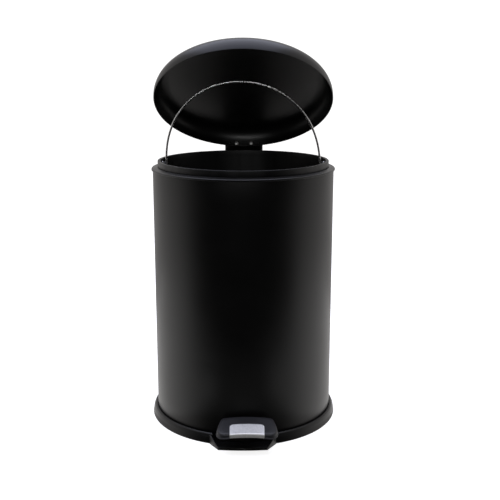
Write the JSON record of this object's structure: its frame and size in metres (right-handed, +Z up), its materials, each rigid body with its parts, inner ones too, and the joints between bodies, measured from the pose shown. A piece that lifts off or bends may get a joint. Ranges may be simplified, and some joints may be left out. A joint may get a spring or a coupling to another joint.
{
  "type": "pedal trash can",
  "caption": "Round pedal trash can with a domed lid on a rear hinge, a lift-out bucket with a wire bail, and a foot pedal that raises the lid through a lever and push rod.",
  "frame": {"origin": "on the can's vertical axis at floor level, the middle of the base's underside", "axes": "+Z up, the pedal and the can's front face -Y, the lid's hinge is at +Y, +X is to the right of someone facing the front"},
  "size_m": [0.3064, 0.3797, 0.6145],
  "materials": {
    "coated_steel": "satin black powder coat with a fine even texture",
    "black_plastic": "moulded, fine matt texture",
    "bucket_plastic": "moulded, smooth matt",
    "pedal_plastic": "moulded, satin",
    "stainless_steel": "brushed",
    "chromed_wire": "bright plated wire",
    "zinc_steel": "dull zinc plate",
    "rubber": "matt"
  },
  "bodies": {
    "can": {"outer_shell": "coated_steel", "top_collar": "black_plastic", "base_pan": "black_plastic", "foot_pad_1": "rubber", "foot_pad_2": "rubber", "foot_pad_3": "rubber", "foot_pad_4": "rubber", "bucket": "bucket_plastic", "bail_lug_left": "black_plastic", "bail_lug_right": "black_plastic", "hinge_housing": "black_plastic", "hinge_pin": "zinc_steel", "hinge_pin_cap_left": "black_plastic", "hinge_pin_cap_right": "black_plastic", "housing_screw_left": "zinc_steel", "housing_screw_right": "zinc_steel", "rod_guide_lower": "black_plastic", "rod_guide_upper": "black_plastic", "lever_axle": "zinc_steel", "axle_clip_left": "zinc_steel", "axle_clip_right": "zinc_steel", "pivot_bracket_left": "zinc_steel", "pivot_bracket_right": "zinc_steel", "bracket_screw_left": "zinc_steel", "bracket_screw_right": "zinc_steel"},
    "lid_assembly": {"lid": "coated_steel", "hinge_arm": "black_plastic", "lid_screw_left": "stainless_steel", "lid_screw_right": "stainless_steel", "lid_rivet_left": "black_plastic", "lid_rivet_right": "black_plastic", "crank_pin": "zinc_steel"},
    "rod_assembly": {"push_rod": "zinc_steel", "rod_stop_collar": "zinc_steel", "rod_end_clip": "zinc_steel"},
    "pedal_assembly": {"lever": "zinc_steel", "pedal": "pedal_plastic", "pedal_plate": "stainless_steel", "pedal_screw_left": "zinc_steel", "pedal_screw_right": "zinc_steel"},
    "bail_handle": {"bail": "chromed_wire"}
  },
  "joints": [
    {"name": "lid_hinge", "type": "hinge", "parent": "can", "child": "lid_assembly", "pos_m": [0, 0.175, 0.405], "axis": [-1, 0, 0], "range_deg": [-35.3, 35.3]},
    {"name": "pedal_pivot", "type": "hinge", "parent": "can", "child": "pedal_assembly", "pos_m": [0, -0.02, 0.017], "axis": [1, 0, 0], "range_deg": [-5.06, 5.06]},
    {"name": "rod_slide", "type": "slide", "parent": "can", "child": "rod_assembly", "axis": [0, 0, 1], "range_m": [-0.0139, 0.0139]},
    {"name": "bail_swing", "type": "hinge", "parent": "can", "child": "bail_handle", "pos_m": [0, 0, 0.4161], "axis": [-1, 0, 0], "range_deg": [-80.1, 80.1]}
  ],
  "couplings": [
    {"joint": "pedal_pivot", "follows": "lid_hinge", "ratio": 0.14292},
    {"joint": "rod_slide", "follows": "lid_hinge", "m_per_rad": 0.02251},
    {"joint": "bail_swing", "follows": "lid_hinge", "ratio": 2.2663}
  ]
}
